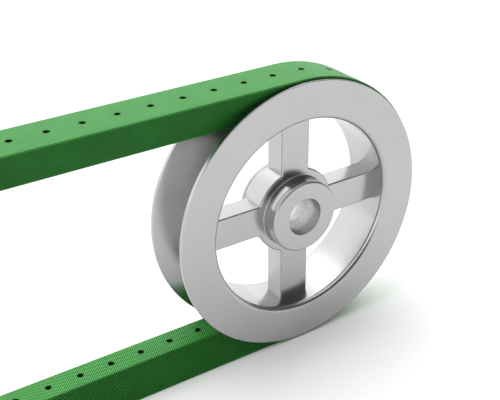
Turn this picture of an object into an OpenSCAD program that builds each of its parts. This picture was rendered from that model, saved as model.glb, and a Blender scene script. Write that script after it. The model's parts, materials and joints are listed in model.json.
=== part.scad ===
// Four-spoke V-groove idler pulley on two ball bearings, with a length of perforated
// fabric-wrapped V-belt round it. The bore axis is Y, the front face looks along -Y,
// the belt leaves along -X, and the origin is the wheel's centre on the bore axis.

/* [Wheel] */
// Outside diameter of the two flanges
wheel_d = 125; // [123:0.5:126]
// Overall width of the rim, which is also the width over the two end spacers
wheel_w = 26.2; // [26:0.1:27]
// Diameter inside the rim
rim_inner_d = 90; // [84:1:92]
// Rounding of the rim's two inner edges
rim_round = 2.3; // [0.5:0.1:3]
// Chamfer of the flanges' outer edges
flange_chamfer = 0.35; // [0.1:0.05:0.6]
// Tangential width of a spoke
spoke_w = 14.4; // [10:0.2:16]
// Axial thickness of a spoke and of the hub's middle disc
spoke_t = 11; // [9:0.5:12]
// Rounding of the spokes' long edges
spoke_round = 0.7; // [0.3:0.1:1.5]
// Number of spokes
spokes = 4; // [3:1:5]
// Diameter of the hub's middle disc
hub_disc_d = 40; // [38:1:44]
// Diameter of the hub's barrel and of the end spacers
hub_d = 33.3; // [32:0.1:35]

/* [Groove] */
// Flat land left on each flange beside the groove
flange_land = 1.85; // [1.8:0.05:2]
// Diameter of the bottom of the groove
groove_bottom_d = 95; // [94:0.5:96]
// Included angle of the groove and of the belt
wedge_angle = 36; // [35:0.5:37]

/* [Bearings] */
// Diameter of the bore through the idler
bore_d = 17; // [17:1:17]
// Outside diameter of a bearing
bearing_d = 26; // [26:1:26]
// Width of a bearing
bearing_w = 5; // [5:1:5]
// Diameter of the circle through the ball centres
ball_pcd = 21.5; // [21.4:0.1:21.6]
// Diameter of a ball
ball_d = 2.78; // [2.6:0.02:2.8]
// Balls in a bearing
balls = 14; // [10:1:15]
// Gap between a ball and its races or its pocket
ball_gap = 0.05; // [0.03:0.01:0.08]
// Length of the sleeve between the two inner rings
sleeve_l = 6; // [5.6:0.2:6]
// Thickness of a retaining ring
retainer_t = 1.2; // [1:0.1:1.2]
// Diameter of a retaining ring's groove
retainer_groove_d = 27.2; // [26.6:0.1:27.6]

/* [End spacers] */
// Thickness of an end spacer's disc
disc_t = 2; // [1.6:0.1:2]
// Running gap between an end spacer and the hub
disc_gap = 0.2; // [0.1:0.05:0.3]
// Diameter of an end spacer's neck, which clamps the inner ring
neck_d = 20; // [19.6:0.1:20]
// Rounding of an end spacer's rim
disc_round = 1; // [0.4:0.1:1.2]
// Chamfer at each mouth of the bore
mouth_chamfer = 0.35; // [0.2:0.05:0.6]

/* [Belt] */
// Width of the belt's outer face
belt_w = 22.8; // [22.4:0.1:22.8]
// Thickness of the belt
belt_t = 15.25; // [15:0.05:15.4]
// Radius of the belt's outer face round the wheel
belt_r = 63.5; // [63.3:0.1:64]
// Rounding of the belt's four edges
belt_round = 0.5; // [0.3:0.1:1.5]
// Length of each straight run, from the wheel's centre line
belt_run = 146; // [144:1:148]
// Thickness of the fabric jacket
jacket_t = 1; // [0.8:0.1:1.2]
// Radius of the tension cords round the wheel
cord_r = 59.1; // [59:0.1:59.6]
// Diameter of a tension cord
cord_d = 1.5; // [1:0.1:1.5]
// Distance between neighbouring cords
cord_pitch = 1.8; // [1.7:0.1:1.8]
// Distance of the innermost cords from the belt's centre line
cord_start = 2.4; // [2.3:0.1:2.5]
// Cords on each side of the holes
cords = 4; // [2:1:4]
// Diameter of the holes through the belt
hole_d = 2.8; // [1.6:0.2:3]
// Distance between the holes along the cords
hole_pitch = 14.3; // [14.2:0.1:14.5]
// Distance of the first hole from the wheel's centre line, on the upper run
first_hole = 8.55; // [8.4:0.05:9]

/* [Hidden] */

$fn = 96;
eps = 0.01;                 // overlap that keeps cuts and unions clean
front = -1;
rear = 1;

// Derived sizes of the wheel
wheel_r = wheel_d / 2;
half_w = wheel_w / 2;
rim_inner_r = rim_inner_d / 2;
slope = tan(wedge_angle / 2);
groove_bottom_r = groove_bottom_d / 2;
groove_top = half_w - flange_land;
groove_bottom = groove_top - (wheel_r - groove_bottom_r) * slope;
hub_half = half_w - disc_t - disc_gap;
seat_from = sleeve_l / 2;                      // the shoulder that locates a bearing
seat_to = seat_from + bearing_w;
shoulder_r = bearing_d / 2 - 1;
retainer_play = 0.05;                          // axial play of a retaining ring in its groove
spoke_from = bearing_d / 2 + 1;
spoke_into_rim = 1;

// Derived sizes of a bearing
bearing_y = seat_from + bearing_w / 2;
race_r = ball_d / 2 + ball_gap;
inner_land_r = 10.1;
outer_land_r = 11.6;
shield_seat_r = 12.1;
shield_seat_t = 0.5;                           // depth of the step that holds a shield
shield_t = 0.3;
shield_r = shield_seat_r - 0.02;
shield_gap = 0.3;                              // running gap between shield and inner ring
ring_chamfer = 0.3;
cage_inner_r = 10.3;
cage_outer_r = 11.4;
cage_w = 3.5;

// Derived sizes of the belt
flank = 1 / cos(wedge_angle / 2);
inner_r = belt_r - belt_t;
arc_l = PI * cord_r;
first_index = -floor((belt_run - first_hole) / hole_pitch);
last_index = floor((first_hole + arc_l + belt_run) / hole_pitch);

// ---------- helpers ----------

// Turns a (radius, axial) outline about the bore axis; axial becomes Y
module turned(a = 360) {
    rotate([-90, 0, 0])
        rotate_extrude(angle = a) children();
}

// A rectangle from (r0, y0) to (r1, y1) in the (radius, axial) plane
module band(r0, r1, y0, y1) {
    translate([r0, y0]) square([r1 - r0, y1 - y0]);
}

// A 45 degree corner cut of size c at (r, y)
module corner_cut(r, y, c) {
    translate([r, y]) rotate(45) square(c * sqrt(2), center = true);
}

// The waste outside a convex corner of radius c at (r, y); sr and sy point into the metal
module round_cut(r, y, c, sr, sy) {
    translate([r, y]) difference() {
        translate([min(sr * c, -sr * eps), min(sy * c, -sy * eps)]) square(c + eps);
        translate([sr * c, sy * c]) circle(r = c);
    }
}

// A square-section bar with four rounded edges, along +X from x0 to x1
module rounded_bar(x0, x1, w, t, c) {
    translate([x0, 0, 0]) rotate([90, 0, 90]) linear_extrude(x1 - x0) {
        square([t - 2 * c, w], center = true);
        square([t, w - 2 * c], center = true);
        for (i = [-1, 1], j = [-1, 1])
            translate([i * (t / 2 - c), j * (w / 2 - c)]) circle(r = c);
    }
}

// ---------- wheel ----------

module rim_section() {
    difference() {
        band(rim_inner_r, wheel_r, -half_w, half_w);
        polygon([[wheel_r + eps, -groove_top - eps * slope],
                 [groove_bottom_r, -groove_bottom],
                 [groove_bottom_r, groove_bottom],
                 [wheel_r + eps, groove_top + eps * slope]]);
        for (s = [front, rear]) {
            corner_cut(wheel_r, s * half_w, flange_chamfer);
            round_cut(rim_inner_r, s * half_w, rim_round, 1, -s);
        }
    }
}

module hub_section() {
    difference() {
        union() {
            band(shoulder_r, hub_d / 2, -hub_half, hub_half);
            band(shoulder_r, hub_disc_d / 2, -spoke_t / 2, spoke_t / 2);
        }
        for (s = [front, rear]) {
            round_cut(hub_disc_d / 2, s * spoke_t / 2, spoke_round, -1, -s);
            corner_cut(hub_d / 2, s * hub_half, 0.15);
        }
    }
}

// Seats for the two bearings and grooves for their retaining rings
module bearing_seats() {
    for (s = [front, rear])
        mirror([0, s == front ? 1 : 0, 0]) turned() {
            band(0, bearing_d / 2, seat_from, hub_half + eps);
            band(0, retainer_groove_d / 2, seat_to, seat_to + retainer_t + 2 * retainer_play);
        }
}

module wheel() {
    color([0.80, 0.80, 0.81]) {
        turned() rim_section();
        difference() {
            union() {
                turned() hub_section();
                for (i = [0:spokes - 1])
                    rotate([0, i * 360 / spokes, 0])
                        rounded_bar(spoke_from, rim_inner_r + spoke_into_rim,
                                    spoke_w, spoke_t, spoke_round);
            }
            bearing_seats();
        }
    }
}

// ---------- bearings ----------

// Places a part drawn round the origin at the front or the rear bearing
module at_bearing(s) {
    translate([0, s * bearing_y, 0]) children();
}

module race_cut() {
    translate([ball_pcd / 2, 0]) circle(r = race_r);
}

module outer_ring(s) {
    color([0.72, 0.73, 0.75]) at_bearing(s) turned() difference() {
        band(outer_land_r, bearing_d / 2, -bearing_w / 2, bearing_w / 2);
        race_cut();
        for (e = [-1, 1]) {
            y = e * bearing_w / 2;
            band(outer_land_r - eps, shield_seat_r,
                 min(y, y - e * shield_seat_t), max(y, y - e * shield_seat_t));
            corner_cut(bearing_d / 2, y, ring_chamfer);
        }
    }
}

module inner_ring(s) {
    color([0.72, 0.73, 0.75]) at_bearing(s) turned() difference() {
        band(bore_d / 2, inner_land_r, -bearing_w / 2, bearing_w / 2);
        race_cut();
    }
}

// Places one child round the bearing for each ball
module each_ball() {
    for (i = [0:balls - 1])
        rotate([0, i * 360 / balls, 0])
            translate([ball_pcd / 2, 0, 0]) children();
}

module ball_set(s) {
    color([0.85, 0.86, 0.88]) at_bearing(s)
        each_ball() sphere(d = ball_d);
}

// Solid cage, drilled through for the balls
module cage(s) {
    color([0.75, 0.62, 0.35]) at_bearing(s) difference() {
        turned() band(cage_inner_r, cage_outer_r, -cage_w / 2, cage_w / 2);
        each_ball() rotate([0, 90, 0]) cylinder(r = race_r, h = 3, center = true, $fn = 48);
    }
}

// Dished steel shield; side -1 is the face towards the front of the wheel
module shield(s, side) {
    color([0.62, 0.63, 0.65]) at_bearing(s)
        mirror([0, side == front ? 1 : 0, 0]) turned() {
            band(inner_land_r + shield_gap, outer_land_r, 2.05, 2.05 + shield_t);
            band(outer_land_r - shield_t, shield_r,
                 bearing_w / 2 - shield_seat_t, bearing_w / 2 - shield_seat_t + shield_t);
        }
}

// ---------- fasteners and spacers ----------

// Flat open ring without lugs, sprung into its groove
module retaining_ring(s) {
    outer_r = retainer_groove_d / 2 - 0.05;
    width = 1.9;
    opening = 5;
    color([0.35, 0.35, 0.37])
        translate([0, s * (seat_to + retainer_play + retainer_t / 2), 0]) difference() {
            turned() band(outer_r - width, outer_r, -retainer_t / 2, retainer_t / 2);
            translate([-opening / 2, -retainer_t, -bearing_d])
                cube([opening, 2 * retainer_t, bearing_d]);
        }
}

module centre_sleeve() {
    color([0.66, 0.67, 0.69])
        turned() band(bore_d / 2, neck_d / 2, -sleeve_l / 2, sleeve_l / 2);
}

module end_spacer(s) {
    color([0.80, 0.80, 0.81]) mirror([0, s == front ? 1 : 0, 0]) turned() difference() {
        union() {
            band(bore_d / 2, neck_d / 2, seat_to, half_w);
            band(bore_d / 2, hub_d / 2, half_w - disc_t, half_w);
        }
        round_cut(hub_d / 2, half_w, disc_round, -1, -1);
        corner_cut(bore_d / 2, half_w, mouth_chamfer);
    }
}

// ---------- belt ----------

// The belt's section, inset all round; X is the radius and Y the width
module belt_section(inset) {
    c = belt_round - min(inset, belt_round - 0.2);
    top = belt_r - inset;
    bottom = inner_r + inset;
    top_half = belt_w / 2 - inset * (flank + slope);
    bottom_half = top_half - (top - bottom) * slope;
    top_y = top_half - c * (slope + flank);
    bottom_y = bottom_half + c * slope - c * flank;
    dy = c * cos(wedge_angle / 2);
    dx = c * sin(wedge_angle / 2);
    polygon([[top, -top_y], [top, top_y],
             [top - c - dx, top_y + dy], [bottom + c - dx, bottom_y + dy],
             [bottom, bottom_y], [bottom, -bottom_y],
             [bottom + c - dx, -bottom_y - dy], [top - c - dx, -top_y - dy]]);
    for (i = [-1, 1]) {
        translate([top - c, i * top_y]) circle(r = c);
        translate([bottom + c, i * bottom_y]) circle(r = c);
    }
}

// Sweeps a (radius, width) outline along the belt: upper run, half turn, lower run
module along_belt() {
    rotate([0, -90, 0]) turned(180) children();
    for (i = [0, 1])
        mirror([0, 0, i]) translate([-belt_run, 0, 0])
            rotate([0, -90, 0]) mirror([0, 0, 1]) linear_extrude(belt_run) children();
}

// Places one child at each hole, pointing along +Z out of the belt
module each_hole() {
    for (i = [first_index:last_index]) {
        s = i * hole_pitch - first_hole;
        if (s > hole_d - belt_run && s < arc_l + belt_run - hole_d) {
            if (s < 0)
                translate([s, 0, 0]) children();
            else if (s < arc_l)
                rotate([0, s / cord_r * 180 / PI, 0]) children();
            else
                translate([arc_l - s, 0, 0]) rotate([0, 180, 0]) children();
        }
    }
}

module belt_holes() {
    each_hole() translate([0, 0, inner_r - 1])
        cylinder(d = hole_d, h = belt_t + 2, $fn = 32);
}

// One cord after another, each a whole length of its own
module each_cord() {
    for (i = [0:cords - 1], side = [-1, 1])
        along_belt()
            translate([cord_r, side * (cord_start + i * cord_pitch)])
                circle(d = cord_d, $fn = 8);
}

module belt_jacket() {
    color([0.24, 0.60, 0.26]) difference() {
        along_belt() difference() {
            belt_section(0);
            belt_section(jacket_t);
        }
        belt_holes();
    }
}

module belt_core() {
    color([0.08, 0.20, 0.09]) difference() {
        along_belt() belt_section(jacket_t);
        each_cord();
        belt_holes();
    }
}

module belt_cords() {
    color([0.85, 0.82, 0.74]) each_cord();
}

// ---------- nodes ----------

wheel();
outer_ring(front);  // front_outer_ring
outer_ring(rear);  // rear_outer_ring
inner_ring(front);  // front_inner_ring
inner_ring(rear);  // rear_inner_ring
ball_set(front);  // front_balls
ball_set(rear);  // rear_balls
cage(front);  // front_cage
cage(rear);  // rear_cage
shield(front, front);  // front_outer_shield
shield(front, rear);  // front_inner_shield
shield(rear, rear);  // rear_outer_shield
shield(rear, front);  // rear_inner_shield
retaining_ring(front);  // front_retaining_ring
retaining_ring(rear);  // rear_retaining_ring
centre_sleeve();
end_spacer(front);  // front_end_spacer
end_spacer(rear);  // rear_end_spacer
belt_jacket();
belt_core();
belt_cords();
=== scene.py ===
import json
import math

import bmesh
import bpy
from mathutils import Matrix, Vector


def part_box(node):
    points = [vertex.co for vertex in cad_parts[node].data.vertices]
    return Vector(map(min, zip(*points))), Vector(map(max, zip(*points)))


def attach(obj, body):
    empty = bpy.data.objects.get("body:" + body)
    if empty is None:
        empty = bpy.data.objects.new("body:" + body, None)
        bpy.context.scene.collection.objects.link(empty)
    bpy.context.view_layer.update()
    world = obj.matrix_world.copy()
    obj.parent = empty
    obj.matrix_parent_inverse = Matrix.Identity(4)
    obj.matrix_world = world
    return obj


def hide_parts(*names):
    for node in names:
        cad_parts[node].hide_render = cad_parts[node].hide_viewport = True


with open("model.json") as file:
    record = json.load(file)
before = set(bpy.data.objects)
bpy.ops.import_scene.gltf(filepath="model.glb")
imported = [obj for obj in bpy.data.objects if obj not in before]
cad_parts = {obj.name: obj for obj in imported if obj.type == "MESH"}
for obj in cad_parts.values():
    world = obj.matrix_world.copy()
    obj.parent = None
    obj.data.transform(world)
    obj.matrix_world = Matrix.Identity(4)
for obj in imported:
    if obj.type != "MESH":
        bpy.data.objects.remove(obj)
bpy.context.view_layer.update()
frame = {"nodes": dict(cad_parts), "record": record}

# ---------------------------------------------------------------- sizes, in metres
MM = 0.001

wheel_lo, wheel_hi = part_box("wheel")
belt_lo, belt_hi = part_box("belt_jacket")
spacer_lo, spacer_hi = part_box("rear_end_spacer")
bore = next(m for m in frame["record"]["mounts"] if m["name"] == "bore")

WHEEL_R = wheel_hi.x                    # outside radius of the flanges
HALF_W = wheel_hi.y                     # half the width of the rim
RIM_IN = 45 * MM                        # radius inside the rim
GROOVE_TOP = HALF_W - 1.85 * MM         # half width of the groove at the flanges
GROOVE_R = 47.5 * MM                    # radius of the groove's bottom
GROOVE_FILLET = 0.8 * MM
GROOVE_LIP = 0.2 * MM                   # rounding where the groove meets a flange
RIM_ROUND = 2.3 * MM                    # rounding of the rim's inner edges
FLANGE_EDGE = 0.35 * MM
WEDGE = math.radians(18)                # half angle of the groove and of the belt
SPOKES = 4
SPOKE_W = 14.4 * MM
SPOKE_T = 11 * MM
SPOKE_ROUND = 0.7 * MM
SPOKE_FROM = 14 * MM                    # the spokes start inside the hub's wall
SPOKE_TO = RIM_IN + 1 * MM              # and end inside the rim
HUB_DISC_R = 20 * MM
HUB_R = spacer_hi.x                     # barrel and end spacers share one radius
SPACER_T = 2 * MM
SPACER_GAP = 0.2 * MM                   # running gap between a spacer and the hub
HUB_HALF = HALF_W - SPACER_T - SPACER_GAP
NECK_R = 10 * MM
NECK_FROM = spacer_lo.y
BORE_R = bore["dims"]["r_mm"] * MM
SEAT_R = 13 * MM                        # bearing seat
SEAT_FROM = 3 * MM
SHOULDER_R = 12 * MM
GROOVES = (8 * MM, 9.3 * MM)            # retaining ring groove, along the bore
RETAINER_R = 13.6 * MM
TOOL_EDGE = 0.15 * MM                   # broken edge left by the lathe

BELT_R = belt_hi.z                      # outer face of the belt round the wheel
BELT_RUN = -belt_lo.x                   # length of each straight run
BELT_HALF = 11.4 * MM                   # half width of the outer face, edges sharp
BELT_T = 15.25 * MM
BELT_ROUND = 0.5 * MM
JACKET_T = 1 * MM
CORD_LINE = 59.1 * MM                   # radius of the cords round the wheel
CORD_R = 0.74 * MM
CORD_ROWS = [side * (2.4 + 1.8 * i) * MM for i in range(4) for side in (-1, 1)]
HOLE_R = 1.4 * MM
HOLE_PITCH = 14.3 * MM
FIRST_HOLE = 8.55 * MM
HOLE_MARGIN = 2 * HOLE_R                # no hole closer than this to a cut end
STRAND_LAY = 9 * MM                     # length in which a cord's strands twist once round
THREAD = 0.9 * MM                       # distance between the threads of the fabric

TURN_STEPS = 192                        # sides of a full turn
MERGE_WITHIN = 0.003 * MM               # vertices closer than this become one
SLIVER_WITHIN = 0.001 * MM              # faces thinner than this go
SMOOTH_BELOW = math.radians(28)         # edges sharper than this stay crisp


# ---------------------------------------------------------------- mesh helpers
def rounded(corners, steps=5):
    """A closed outline of (a, b, radius) corners, each turned into an arc of that radius."""
    points = []
    n = len(corners)
    for i, (a, b, radius) in enumerate(corners):
        here = Vector((a, b))
        before = (Vector(corners[i - 1][:2]) - here).normalized()
        after = (Vector(corners[(i + 1) % n][:2]) - here).normalized()
        if radius <= 0:
            points.append(here)
            continue
        half = before.angle(after) / 2
        centre = here + (before + after).normalized() * (radius / math.sin(half))
        start = here + before * (radius / math.tan(half)) - centre
        end = here + after * (radius / math.tan(half)) - centre
        sweep = start.angle_signed(end)
        for k in range(steps + 1):
            points.append(centre + Matrix.Rotation(-sweep * k / steps, 2) @ start)
    return points


def new_object(name, bm):
    """Turns a bmesh into an object of the scene."""
    bmesh.ops.recalc_face_normals(bm, faces=bm.faces)
    mesh = bpy.data.meshes.new(name)
    bm.to_mesh(mesh)
    bm.free()
    obj = bpy.data.objects.new(name, mesh)
    bpy.context.scene.collection.objects.link(obj)
    return obj


def smooth(obj, limit=SMOOTH_BELOW):
    """Smooth shading that leaves flat faces flat, with edges sharper than the limit crisp."""
    bm = bmesh.new()
    bm.from_mesh(obj.data)
    for face in bm.faces:
        face.smooth = True
    for edge in bm.edges:
        edge.smooth = len(edge.link_faces) != 2 or edge.calc_face_angle(0) < limit
    bm.to_mesh(obj.data)
    bm.free()
    even = obj.modifiers.new("even_normals", "WEIGHTED_NORMAL")
    even.mode = "FACE_AREA"
    even.weight = 80
    even.keep_sharp = True
    return obj


def loft(bm, rings, closed):
    """Joins rings of vertices, all of one length, with quads."""
    count = len(rings)
    for i in range(count if closed else count - 1):
        here, there = rings[i], rings[(i + 1) % count]
        for k in range(len(here)):
            m = (k + 1) % len(here)
            bm.faces.new((here[k], here[m], there[m], there[k]))


def add_lathe(bm, outline):
    """Turns a closed (radius, y) outline about the bore axis."""
    rings = []
    for i in range(TURN_STEPS):
        angle = 2 * math.pi * i / TURN_STEPS
        c, s = math.cos(angle), math.sin(angle)
        rings.append([bm.verts.new((p.x * c, p.y, p.x * s)) for p in outline])
    loft(bm, rings, closed=True)


def boolean(obj, tool, operation):
    """Cuts the tool out of the object or adds it, drops slivers, and removes the tool."""
    mod = obj.modifiers.new(operation, "BOOLEAN")
    mod.operation = operation
    mod.solver = "EXACT"
    mod.object = tool
    bpy.context.view_layer.update()
    evaluated = obj.evaluated_get(bpy.context.evaluated_depsgraph_get())
    bm = bmesh.new()
    bm.from_mesh(evaluated.to_mesh())
    bmesh.ops.remove_doubles(bm, verts=bm.verts, dist=MERGE_WITHIN)
    bmesh.ops.dissolve_degenerate(bm, edges=bm.edges, dist=SLIVER_WITHIN)
    obj.modifiers.clear()
    bm.to_mesh(obj.data)
    bm.free()
    bpy.data.objects.remove(tool)
    return obj


# ---------------------------------------------------------------- wheel
def rim_outline():
    """The rim: two flanges and the V groove between them."""
    bottom = GROOVE_TOP - (WHEEL_R - GROOVE_R) * math.tan(WEDGE)
    return rounded([
        (RIM_IN, -HALF_W, RIM_ROUND),
        (WHEEL_R, -HALF_W, FLANGE_EDGE),
        (WHEEL_R, -GROOVE_TOP, GROOVE_LIP),
        (GROOVE_R, -bottom, GROOVE_FILLET),
        (GROOVE_R, bottom, GROOVE_FILLET),
        (WHEEL_R, GROOVE_TOP, GROOVE_LIP),
        (WHEEL_R, HALF_W, FLANGE_EDGE),
        (RIM_IN, HALF_W, RIM_ROUND),
    ])


def hub_outline():
    """The hub: barrel, middle disc, bearing seats and grooves for the retaining rings."""
    half_disc = SPOKE_T / 2
    near, far = GROOVES
    rear = [
        (SHOULDER_R, SEAT_FROM, 0),
        (SEAT_R, SEAT_FROM, 0),
        (SEAT_R, near, 0),
        (RETAINER_R, near, 0),
        (RETAINER_R, far, 0),
        (SEAT_R, far, 0),
        (SEAT_R, HUB_HALF, TOOL_EDGE),
        (HUB_R, HUB_HALF, TOOL_EDGE),
        (HUB_R, half_disc, 0.5 * MM),
        (HUB_DISC_R, half_disc, 0.7 * MM),
    ]
    front = [(r, -y, c) for r, y, c in reversed(rear)]
    return rounded(rear + front)


def add_spoke(bm, turn):
    """One spoke: a bar with rounded long edges, its ends buried in the hub and the rim."""
    section = rounded([
        (-SPOKE_T / 2, -SPOKE_W / 2, SPOKE_ROUND),
        (SPOKE_T / 2, -SPOKE_W / 2, SPOKE_ROUND),
        (SPOKE_T / 2, SPOKE_W / 2, SPOKE_ROUND),
        (-SPOKE_T / 2, SPOKE_W / 2, SPOKE_ROUND),
    ])
    spin = Matrix.Rotation(turn, 3, "Y")
    rings = []
    for x in (SPOKE_FROM, SPOKE_TO):
        rings.append([bm.verts.new(spin @ Vector((x, p.x, p.y))) for p in section])
    loft(bm, rings, closed=False)
    for ring in rings:
        bm.faces.new(ring)


def make_wheel():
    turned = bmesh.new()
    add_lathe(turned, rim_outline())
    add_lathe(turned, hub_outline())
    wheel = new_object("cast_wheel", turned)
    bars = bmesh.new()
    for i in range(SPOKES):
        add_spoke(bars, 2 * math.pi * i / SPOKES)
    boolean(wheel, new_object("spoke_bars", bars), "UNION")
    return smooth(wheel)


def make_end_spacer(name, side):
    """A flanged spacer: its disc is the boss face, its neck clamps the bearing's inner ring."""
    outline = rounded([
        (BORE_R, NECK_FROM, 0.1 * MM),
        (NECK_R, NECK_FROM, 0.1 * MM),
        (NECK_R, HALF_W - SPACER_T, 0.2 * MM),
        (HUB_R, HALF_W - SPACER_T, TOOL_EDGE),
        (HUB_R, HALF_W, 1 * MM),
        (BORE_R, HALF_W, 0.35 * MM),
    ])
    bm = bmesh.new()
    add_lathe(bm, [Vector((p.x, side * p.y)) for p in outline])
    return smooth(new_object(name, bm))


# ---------------------------------------------------------------- belt
def belt_point(s, radius, y):
    """The point at distance s along the cords, counted from the top of the wheel."""
    arc = math.pi * CORD_LINE
    if s <= 0:
        return Vector((s, y, radius))
    if s >= arc:
        return Vector((arc - s, y, -radius))
    angle = s / CORD_LINE
    return Vector((radius * math.sin(angle), y, radius * math.cos(angle)))


def belt_stations(run_step, arc_steps):
    """Distances along the belt: the upper run, the half turn and the lower run."""
    arc = math.pi * CORD_LINE
    steps = max(1, round(BELT_RUN / run_step))
    upper = [-BELT_RUN * (1 - i / steps) for i in range(steps)]
    turn = [arc * i / arc_steps for i in range(arc_steps + 1)]
    lower = [arc + BELT_RUN * (i + 1) / steps for i in range(steps)]
    return upper + turn + lower


def belt_outline(inset, radius):
    """The belt's section as (radius, y), inset all round."""
    top_r = BELT_R - inset
    low_r = BELT_R - BELT_T + inset
    top = BELT_HALF - inset * (math.tan(WEDGE) + 1 / math.cos(WEDGE))
    low = top - (top_r - low_r) * math.tan(WEDGE)
    corners = [(top_r, -top), (top_r, top), (low_r, low), (low_r, -low)]
    return rounded([(r, y, radius) for r, y in corners], steps=4)


def make_belt_jacket():
    """The fabric jacket: a hollow sweep with U along the belt and V round its section."""
    bm = bmesh.new()
    uv = bm.loops.layers.uv.new("weave")
    stations = belt_stations(4 * MM, 96)
    shells = []
    for inset, radius in ((0, BELT_ROUND), (JACKET_T, 0.25 * MM)):
        outline = belt_outline(inset, radius)
        around = [0.0]
        for a, b in zip(outline, outline[1:] + outline[:1]):
            around.append(around[-1] + (b - a).length)
        rings = [[bm.verts.new(belt_point(s, p.x, p.y)) for p in outline] for s in stations]
        for i in range(len(stations) - 1):
            for k in range(len(outline)):
                m = (k + 1) % len(outline)
                face = bm.faces.new((rings[i][k], rings[i][m], rings[i + 1][m], rings[i + 1][k]))
                places = ((i, k), (i, k + 1), (i + 1, k + 1), (i + 1, k))
                for loop, (j, v) in zip(face.loops, places):
                    loop[uv].uv = (stations[j], around[v])
        shells.append(rings)
    outer, inner = shells
    for end in (0, -1):
        count = len(outer[end])
        for k in range(count):
            m = (k + 1) % count
            bm.faces.new((outer[end][k], outer[end][m], inner[end][m], inner[end][k]))
    jacket = new_object("belt_cover", bm)
    boolean(jacket, make_punches(), "DIFFERENCE")
    return smooth(jacket)


def hole_stations():
    """Distances along the belt at which holes are punched."""
    last = math.pi * CORD_LINE + BELT_RUN - HOLE_MARGIN
    s = -FIRST_HOLE
    while s - HOLE_PITCH > HOLE_MARGIN - BELT_RUN:
        s -= HOLE_PITCH
    found = []
    while s < last:
        found.append(s)
        s += HOLE_PITCH
    return found


def make_punches(sides=28):
    """Pins that stand where the holes go."""
    bm = bmesh.new()
    for s in hole_stations():
        foot = belt_point(s, BELT_R - BELT_T - 1 * MM, 0)
        out = (belt_point(s, BELT_R, 0) - foot).normalized()
        across = Vector((0, 1, 0))
        along = out.cross(across)
        rings = []
        for height in (0, BELT_T + 2 * MM):
            ring = []
            for k in range(sides):
                a = 2 * math.pi * k / sides
                reach = HOLE_R * (math.cos(a) * across + math.sin(a) * along)
                ring.append(bm.verts.new(foot + out * height + reach))
            rings.append(ring)
        loft(bm, rings, closed=False)
        for ring in rings:
            bm.faces.new(ring)
    return new_object("punches", bm)


def make_belt_cords():
    """Eight tension cords of three twisted strands."""
    bm = bmesh.new()
    stations = belt_stations(2 * MM, 96)
    sides, strands, twist = 12, 3, 2 * math.pi / STRAND_LAY
    for row in CORD_ROWS:
        rings = []
        for s in stations:
            ring = []
            for k in range(sides):
                a = 2 * math.pi * k / sides
                lobe = 1 - 0.16 * (0.5 + 0.5 * math.cos(strands * (a - twist * s)))
                ring.append(bm.verts.new(belt_point(
                    s, CORD_LINE + CORD_R * lobe * math.cos(a), row + CORD_R * lobe * math.sin(a))))
            rings.append(ring)
        loft(bm, rings, closed=False)
        bm.faces.new(rings[0])
        bm.faces.new(rings[-1])
    return smooth(new_object("twisted_cords", bm), math.radians(60))


# ---------------------------------------------------------------- materials
class Nodes:
    """Short names for building a node material."""

    def __init__(self, name):
        self.material = bpy.data.materials.new(name)
        self.material.use_nodes = True
        self.tree = self.material.node_tree
        self.shader = self.tree.nodes["Principled BSDF"]

    def add(self, kind, **values):
        node = self.tree.nodes.new("ShaderNode" + kind)
        for key, value in values.items():
            setattr(node, key, value)
        return node

    def feed(self, node, inputs):
        for key, value in inputs.items():
            if isinstance(value, bpy.types.NodeSocket):
                self.tree.links.new(value, node.inputs[key])
            else:
                node.inputs[key].default_value = value
        return node

    def math(self, operation, a, b=0.0):
        node = self.add("Math", operation=operation)
        return self.feed(node, {0: a, 1: b}).outputs[0]

    def mix(self, share, low, high):
        """A colour between two others."""
        node = self.add("Mix", data_type="RGBA")
        return self.feed(node, {"Factor": share, "A": low, "B": high}).outputs["Result"]

    def noise(self, vector, scale, detail):
        node = self.add("TexNoise")
        values = {"Vector": vector, "Scale": scale, "Detail": detail}
        return self.feed(node, values).outputs["Fac"]

    def remap(self, value, low, high, to_low, to_high):
        node = self.add("MapRange")
        names = ("Value", "From Min", "From Max", "To Min", "To Max")
        return self.feed(node, dict(zip(names, (value, low, high, to_low, to_high)))).outputs[0]

    def bump(self, height, strength, distance):
        node = self.add("Bump")
        values = {"Height": height, "Strength": strength, "Distance": distance}
        return self.feed(node, values).outputs["Normal"]

    def place(self):
        return self.add("TexCoord").outputs["Object"]

    def turned_place(self):
        """Object coordinates folded to (radius, y), so that a texture follows lathe marks."""
        parts = self.feed(self.add("SeparateXYZ"), {0: self.place()})
        squares = self.math("ADD", self.math("POWER", parts.outputs[0], 2.0),
                            self.math("POWER", parts.outputs[2], 2.0))
        joined = self.add("CombineXYZ")
        self.feed(joined, {0: self.math("SQRT", squares), 1: parts.outputs[1]})
        return joined.outputs[0]

    def done(self, **inputs):
        named = {key.replace("_", " "): value for key, value in inputs.items()}
        self.feed(self.shader, named)
        return self.material


def grey(value, blue=1.0):
    return (value, value, value * blue, 1)


# Texture scales count features in a metre
POLISHED_TONE = 0.43
POLISHED_RINGS = 5200
POLISHED_CLOUDS = 55
POLISHED_SMUDGES = 240
POLISHED_RELIEF = 0.004 * MM
STEEL_RINGS = 3000
STEEL_MOTTLE = 600
STEEL_RELIEF = 0.01 * MM


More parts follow.
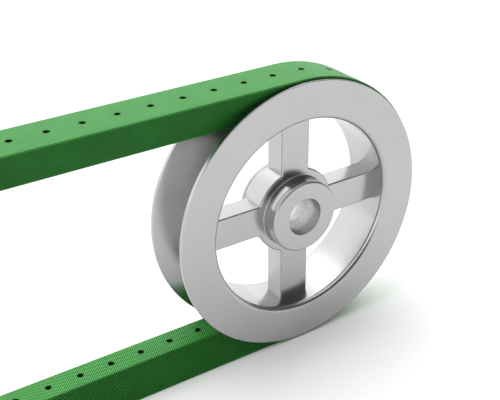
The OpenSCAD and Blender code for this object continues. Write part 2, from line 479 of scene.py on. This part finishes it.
def polished_metal(name, roughness):
    """Turned and polished light metal: fine lathe rings, faint clouding and smudges."""
    n = Nodes(name)
    tone = POLISHED_TONE
    rings = n.noise(n.turned_place(), POLISHED_RINGS, detail=2)
    clouds = n.noise(n.place(), POLISHED_CLOUDS, detail=4)
    smudge = n.noise(n.place(), POLISHED_SMUDGES, detail=3)
    colour = n.mix(n.remap(clouds, 0.3, 0.7, 0, 1), grey(tone * 0.98), grey(tone * 1.02, 1.005))
    worn = n.math("ADD", n.remap(smudge, 0.3, 0.7, roughness * 0.93, roughness * 1.07),
                  n.remap(rings, 0.3, 0.7, -0.02, 0.02))
    return n.done(Base_Color=colour, Metallic=1.0, Roughness=worn,
                  Normal=n.bump(rings, 0.2, POLISHED_RELIEF))


def steel(name, tone, roughness, tint=(1, 1, 1), marks=0.3):
    """Ground or pressed steel, with fine rings and slight mottling."""
    n = Nodes(name)
    rings = n.noise(n.turned_place(), STEEL_RINGS, detail=2)
    mottle = n.noise(n.place(), STEEL_MOTTLE, detail=3)
    dark = (*(tone * 0.9 * t for t in tint), 1)
    light = (*(tone * 1.08 * t for t in tint), 1)
    return n.done(Base_Color=n.mix(mottle, dark, light), Metallic=1.0,
                  Roughness=n.remap(mottle, 0.3, 0.7, roughness * 0.8, roughness * 1.25),
                  Normal=n.bump(rings, marks, STEEL_RELIEF))


FACE_GREENS = ((0.081, 0.660, 0.088, 1), (0.094, 0.730, 0.101, 1))      # outer and inner face
# The flank greens are the face greens darkened: painted shade for flanks that face away from the
# light above
FLANK_PAINTED_SHADE_GREENS = ((0.014, 0.265, 0.018, 1), (0.023, 0.325, 0.026, 1))
GAP_PAINTED_SHADE_GREEN = (0.002, 0.030, 0.003, 1)                                    # between the threads: painted shade in the weave's hollows
FABRIC_RELIEF = 0.22 * MM


def woven_fabric(name):
    """Rubberised plain weave laid on the bias, from the belt's own U and V in metres."""
    n = Nodes(name)
    place = n.add("UVMap", uv_map="weave").outputs[0]
    parts = n.feed(n.add("SeparateXYZ"), {0: place})
    u, v = parts.outputs[0], parts.outputs[1]
    per_thread = math.pi * math.sqrt(0.5) / THREAD
    warp = n.math("SINE", n.math("MULTIPLY", n.math("ADD", u, v), per_thread))
    weft = n.math("SINE", n.math("MULTIPLY", n.math("SUBTRACT", u, v), per_thread))
    over = n.math("MULTIPLY", n.math("MULTIPLY", warp, weft), 0.45)
    warp_up = n.math("MULTIPLY", n.math("ABSOLUTE", warp), n.math("ADD", 0.55, over))
    weft_up = n.math("MULTIPLY", n.math("ABSOLUTE", weft), n.math("SUBTRACT", 0.55, over))
    height = n.math("MAXIMUM", warp_up, weft_up)
    fuzz = n.noise(n.place(), 2600, detail=4)
    shade = n.remap(n.noise(n.place(), 90, detail=3), 0.3, 0.7, 0, 1)
    flank = flank_share(n, v)
    # The flanks take the darker greens: painted shade, not a different dye
    thread = n.mix(flank, n.mix(shade, *FACE_GREENS), n.mix(shade, *FLANK_PAINTED_SHADE_GREENS))
    # The low places of the weave take the gap green: painted shade in the hollows between threads
    colour = n.mix(n.remap(height, 0.48, 0.85, 0, 1), GAP_PAINTED_SHADE_GREEN, thread)
    relief = n.math("ADD", height, n.math("MULTIPLY", fuzz, 0.15))
    return n.done(Base_Color=colour, Roughness=n.remap(flank, 0, 1, 0.5, 0.8),
                  Specular_IOR_Level=0.3, Normal=n.bump(relief, 0.9, FABRIC_RELIEF))


def flank_share(n, v):
    """1 on the belt's two flanks and 0 on its outer and inner face, from V round the section; it
    places the flanks' painted shade and their higher roughness.
    """
    outer = 2 * BELT_HALF
    flank = BELT_T / math.cos(WEDGE)
    inner = outer - 2 * BELT_T * math.tan(WEDGE)
    soft = 0.4 * MM
    first = n.math("SUBTRACT", n.remap(v, outer - soft, outer + soft, 0, 1),
                   n.remap(v, outer + flank - soft, outer + flank + soft, 0, 1))
    last = outer + flank + inner
    return n.math("ADD", first, n.remap(v, last - soft, last + soft, 0, 1))


def rubber(name, tone):
    """Matt rubber with a grainy, freshly cut surface."""
    n = Nodes(name)
    grain = n.noise(n.place(), 1800, detail=4)
    dark, light = (*(t * 0.7 for t in tone), 1), (*(t * 1.3 for t in tone), 1)
    return n.done(Base_Color=n.mix(grain, dark, light),
                  Roughness=n.remap(grain, 0.3, 0.7, 0.65, 0.85),
                  Normal=n.bump(grain, 0.5, 0.0001))


def cord_fibre(name):
    """Pale polyester cord with fine filaments."""
    n = Nodes(name)
    fibre = n.noise(n.place(), 4200, detail=3)
    return n.done(Base_Color=n.mix(fibre, (0.50, 0.46, 0.36, 1), (0.78, 0.74, 0.62, 1)),
                  Roughness=n.remap(fibre, 0.3, 0.7, 0.6, 0.8), Sheen_Weight=0.2,
                  Normal=n.bump(fibre, 0.4, 0.0001))


def paper_floor(name):
    """Plain pale studio floor."""
    n = Nodes(name)
    grain = n.noise(n.place(), 14, detail=2)
    return n.done(Base_Color=n.mix(grain, grey(0.85), grey(0.87)), Roughness=0.9,
                  Specular_IOR_Level=0.2)


def dress(obj, material, body=None, replaces=None):
    """Gives a piece its material and its body, and hides the CAD node it replaces."""
    obj.data.materials.clear()
    obj.data.materials.append(material)
    if body:
        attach(obj, body)
    if replaces:
        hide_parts(replaces)


# ---------------------------------------------------------------- the object
def build_object():
    polished = polished_metal("polished_wheel_metal", 0.24)
    spacer_metal = polished_metal("polished_spacer_metal", 0.3)
    fabric = woven_fabric("green_woven_jacket")
    core = rubber("dark_green_rubber", (0.006, 0.075, 0.009))
    fibre = cord_fibre("polyester_cord")
    dress(make_wheel(), polished, "wheel", "wheel")
    for end, side in (("front", -1), ("rear", 1)):
        spacer = make_end_spacer(f"boss_spacer_{end}", side)
        dress(spacer, spacer_metal, "fixed", f"{end}_end_spacer")
    dress(make_belt_jacket(), fabric, "fixed", "belt_jacket")
    dress(make_belt_cords(), fibre, "fixed", "belt_cords")
    nodes = frame["nodes"]
    dress(nodes["belt_core"], core)
    rings = ("outer_ring", "inner_ring")
    shields = ("outer_shield", "inner_shield")
    inner = {
        "bearing_steel": (steel("ground_bearing_steel", 0.55, 0.3), rings),
        "ball_steel": (steel("mirror_ball_steel", 0.7, 0.05, marks=0.02), ("balls",)),
        "cage_brass": (steel("machined_brass", 0.62, 0.3, (1, 0.78, 0.42)), ("cage",)),
        "shield_steel": (steel("pressed_shield_steel", 0.5, 0.28), shields),
        "spring_steel": (steel("dark_spring_steel", 0.12, 0.4), ("retaining_ring",)),
    }
    for slot, (material, kinds) in inner.items():
        for kind in kinds:
            for end in ("front", "rear"):
                dress(nodes[f"{end}_{kind}"], material)
    dress(nodes["centre_sleeve"], steel("turned_sleeve_steel", 0.5, 0.4))


# ---------------------------------------------------------------- studio
LENS = 69.7
CAMERA_PLACE = Vector((-0.2254, -0.3084, 0.2055))
CAMERA_TURN = (33.63, -27.97, -0.46)        # yaw, pitch and roll in degrees
DARK_END = (0.35, -0.80, 0.48)              # towards the middle of the room's dark end
DARK_FROM, DARK_FULL = 0.3, 0.6             # cosines at which the dark begins and is full
ROOM_LIGHT, ROOM_DARK = 1.7, 0.17
LAMP_TURN = (150, -84)
LAMP_POWER = 1.65
LAMP_SPREAD = math.radians(80)
FLOOR_HALF = 4


def aim(obj, place, yaw, pitch, roll=0.0):
    """Stands a camera or light at a place, looking yaw degrees from +Y towards +X."""
    y, p = math.radians(yaw), math.radians(pitch)
    look = Vector((math.cos(p) * math.sin(y), math.cos(p) * math.cos(y), math.sin(p)))
    turn = look.to_track_quat("-Z", "Y").to_matrix() @ Matrix.Rotation(math.radians(roll), 3, "Z")
    obj.matrix_world = Matrix.Translation(place) @ turn.to_4x4()


def build_camera():
    data = bpy.data.cameras.new("camera")
    data.sensor_width = 36
    data.lens = LENS
    data.clip_start, data.clip_end = 0.01, 20
    camera = bpy.data.objects.new("camera", data)
    bpy.context.scene.collection.objects.link(camera)
    aim(camera, CAMERA_PLACE, *CAMERA_TURN)
    bpy.context.scene.camera = camera


def build_world():
    """A white room with a dark end behind the camera; the camera itself sees it white."""
    world = bpy.data.worlds.new("white_room")
    world.use_nodes = True
    links, nodes = world.node_tree.links, world.node_tree.nodes
    background = nodes["Background"]
    background.inputs["Color"].default_value = (1, 1, 1, 1)
    way = nodes.new("ShaderNodeTexCoord")
    front = nodes.new("ShaderNodeVectorMath")
    front.operation = "DOT_PRODUCT"
    front.inputs[1].default_value = DARK_END
    links.new(way.outputs["Generated"], front.inputs[0])
    ramp = nodes.new("ShaderNodeMapRange")
    ramp.interpolation_type = "SMOOTHSTEP"
    ramp.inputs["From Min"].default_value = DARK_FROM
    ramp.inputs["From Max"].default_value = DARK_FULL
    ramp.inputs["To Min"].default_value = ROOM_LIGHT
    ramp.inputs["To Max"].default_value = ROOM_DARK
    links.new(front.outputs["Value"], ramp.inputs["Value"])
    seen = nodes.new("ShaderNodeLightPath")
    bright = nodes.new("ShaderNodeMath")
    bright.operation = "MAXIMUM"
    links.new(ramp.outputs[0], bright.inputs[0])
    links.new(seen.outputs["Is Camera Ray"], bright.inputs[1])
    links.new(bright.outputs[0], background.inputs["Strength"])
    bpy.context.scene.world = world


def build_studio():
    bm = bmesh.new()
    level = min(belt_lo.z, wheel_lo.z)
    corners = [(-FLOOR_HALF, -FLOOR_HALF), (FLOOR_HALF, -FLOOR_HALF),
               (FLOOR_HALF, FLOOR_HALF), (-FLOOR_HALF, FLOOR_HALF)]
    bm.faces.new([bm.verts.new((x, y, level)) for x, y in corners])
    floor = new_object("studio_floor", bm)
    floor.data.materials.append(paper_floor("pale_floor"))

    build_world()
    sun = bpy.data.lights.new("soft_overhead", "SUN")
    sun.energy = LAMP_POWER
    sun.angle = LAMP_SPREAD
    lamp = bpy.data.objects.new("soft_overhead", sun)
    bpy.context.scene.collection.objects.link(lamp)
    aim(lamp, Vector((0, 0, 1)), *LAMP_TURN)
    bpy.context.scene.view_settings.view_transform = "Standard"


build_camera()
build_object()
build_studio()
